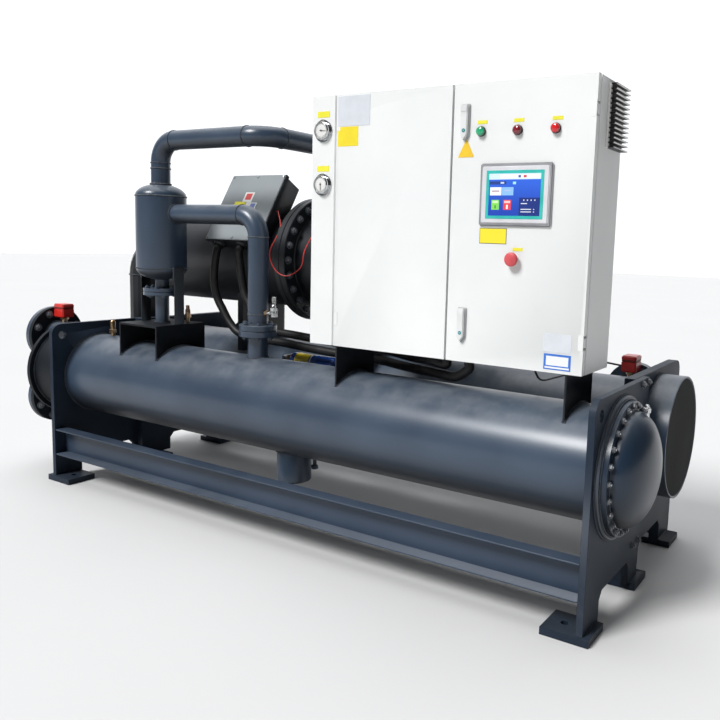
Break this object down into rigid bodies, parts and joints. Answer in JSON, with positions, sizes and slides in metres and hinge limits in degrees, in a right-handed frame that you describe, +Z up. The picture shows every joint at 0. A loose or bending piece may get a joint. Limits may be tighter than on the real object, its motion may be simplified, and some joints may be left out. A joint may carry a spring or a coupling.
{
  "type": "water cooled screw chiller",
  "caption": "Water cooled screw chiller: two long vessels on bolted end frames, screw compressor, oil separator, discharge pipes and a control cabinet with hinged doors.",
  "frame": {"origin": "centre of the overall box on the floor", "axes": "+X along the vessels towards the dished cover, +Y from the cabinet front to the back, +Z up"},
  "size_m": [2.7906, 0.976, 1.5],
  "materials": {
    "aluminium": "bare extrusion",
    "black_plastic": "corrugated, satin",
    "blue_paint": "gloss enamel",
    "brass": "bare",
    "bright_steel": "polished",
    "dark_paint": "dark machine paint",
    "dark_red_lens": "gloss",
    "galvanised_steel": "zinc coated",
    "green_lens": "gloss",
    "grey_bezel": "satin frame round a gloss screen",
    "grey_lid": "satin grey paint",
    "red_plastic": "semi gloss",
    "slate_paint": "satin dark blue-grey paint",
    "white_paint": "white powder coat",
    "white_plastic": "satin"
  },
  "bodies": {
    "chiller": {"blind_flange_lower": "slate_paint", "blind_flange_upper": "slate_paint", "cabinet_body": "white_paint", "cabinet_bracket_left": "slate_paint", "cabinet_bracket_right": "slate_paint", "compressor_casing": "dark_paint", "compressor_end_housing": "dark_paint", "compressor_motor": "dark_paint", "compressor_support_left": "dark_paint", "compressor_support_right": "dark_paint", "condenser_cover": "slate_paint", "condenser_inlet": "slate_paint", "condenser_shell": "slate_paint", "condenser_sump": "slate_paint", "condenser_water_box": "slate_paint", "conduit_left": "black_plastic", "conduit_right": "black_plastic", "evaporator_head_left": "slate_paint", "evaporator_head_right": "slate_paint", "evaporator_nozzle_left": "slate_paint", "evaporator_nozzle_right": "slate_paint", "evaporator_shell": "slate_paint", "filter_drier": "blue_paint", "flow_switch_left": "red_plastic", "flow_switch_right": "red_plastic", "front_beam": "slate_paint", "front_frame_left": "slate_paint", "front_frame_right": "slate_paint", "gauge_lower": "bright_steel", "gauge_upper": "bright_steel", "mounting_panel": "galvanised_steel", "oil_separator": "slate_paint", "oil_valve": "brass", "rear_beam": "slate_paint", "rear_frame_left": "slate_paint", "rear_frame_right": "slate_paint", "relief_valve": "brass", "sensor_wire": "red_plastic", "separator_stand": "slate_paint", "service_valve": "bright_steel", "side_discharge_pipe": "slate_paint", "side_vent": "aluminium", "suction_pipe": "dark_paint", "switch_wire": "black_plastic", "terminal_box": "dark_paint", "terminal_lid": "grey_lid", "top_discharge_pipe": "slate_paint", "vent_plug": "bright_steel"},
    "left_door": {"left_door": "white_paint"},
    "right_door": {"right_door": "white_paint", "touch_screen": "grey_bezel", "lamp_green": "green_lens", "lamp_dark_red": "dark_red_lens", "lamp_red": "red_plastic", "handle_upper": "white_plastic", "handle_lower": "white_plastic"},
    "stop_button": {"stop_button": "red_plastic"}
  },
  "joints": [
    {"name": "left_door_hinge", "type": "hinge", "parent": "chiller", "child": "left_door", "pos_m": [0.341, -0.364, 1.1], "axis": [0, 0, -1], "range_deg": [0, 105]},
    {"name": "right_door_hinge", "type": "hinge", "parent": "chiller", "child": "right_door", "pos_m": [1.194, -0.364, 1.1], "axis": [0, 0, 1], "range_deg": [0, 105]},
    {"name": "stop_button_slide", "type": "slide", "parent": "right_door", "child": "stop_button", "axis": [0, 1, 0], "range_m": [0, 0.005]}
  ]
}
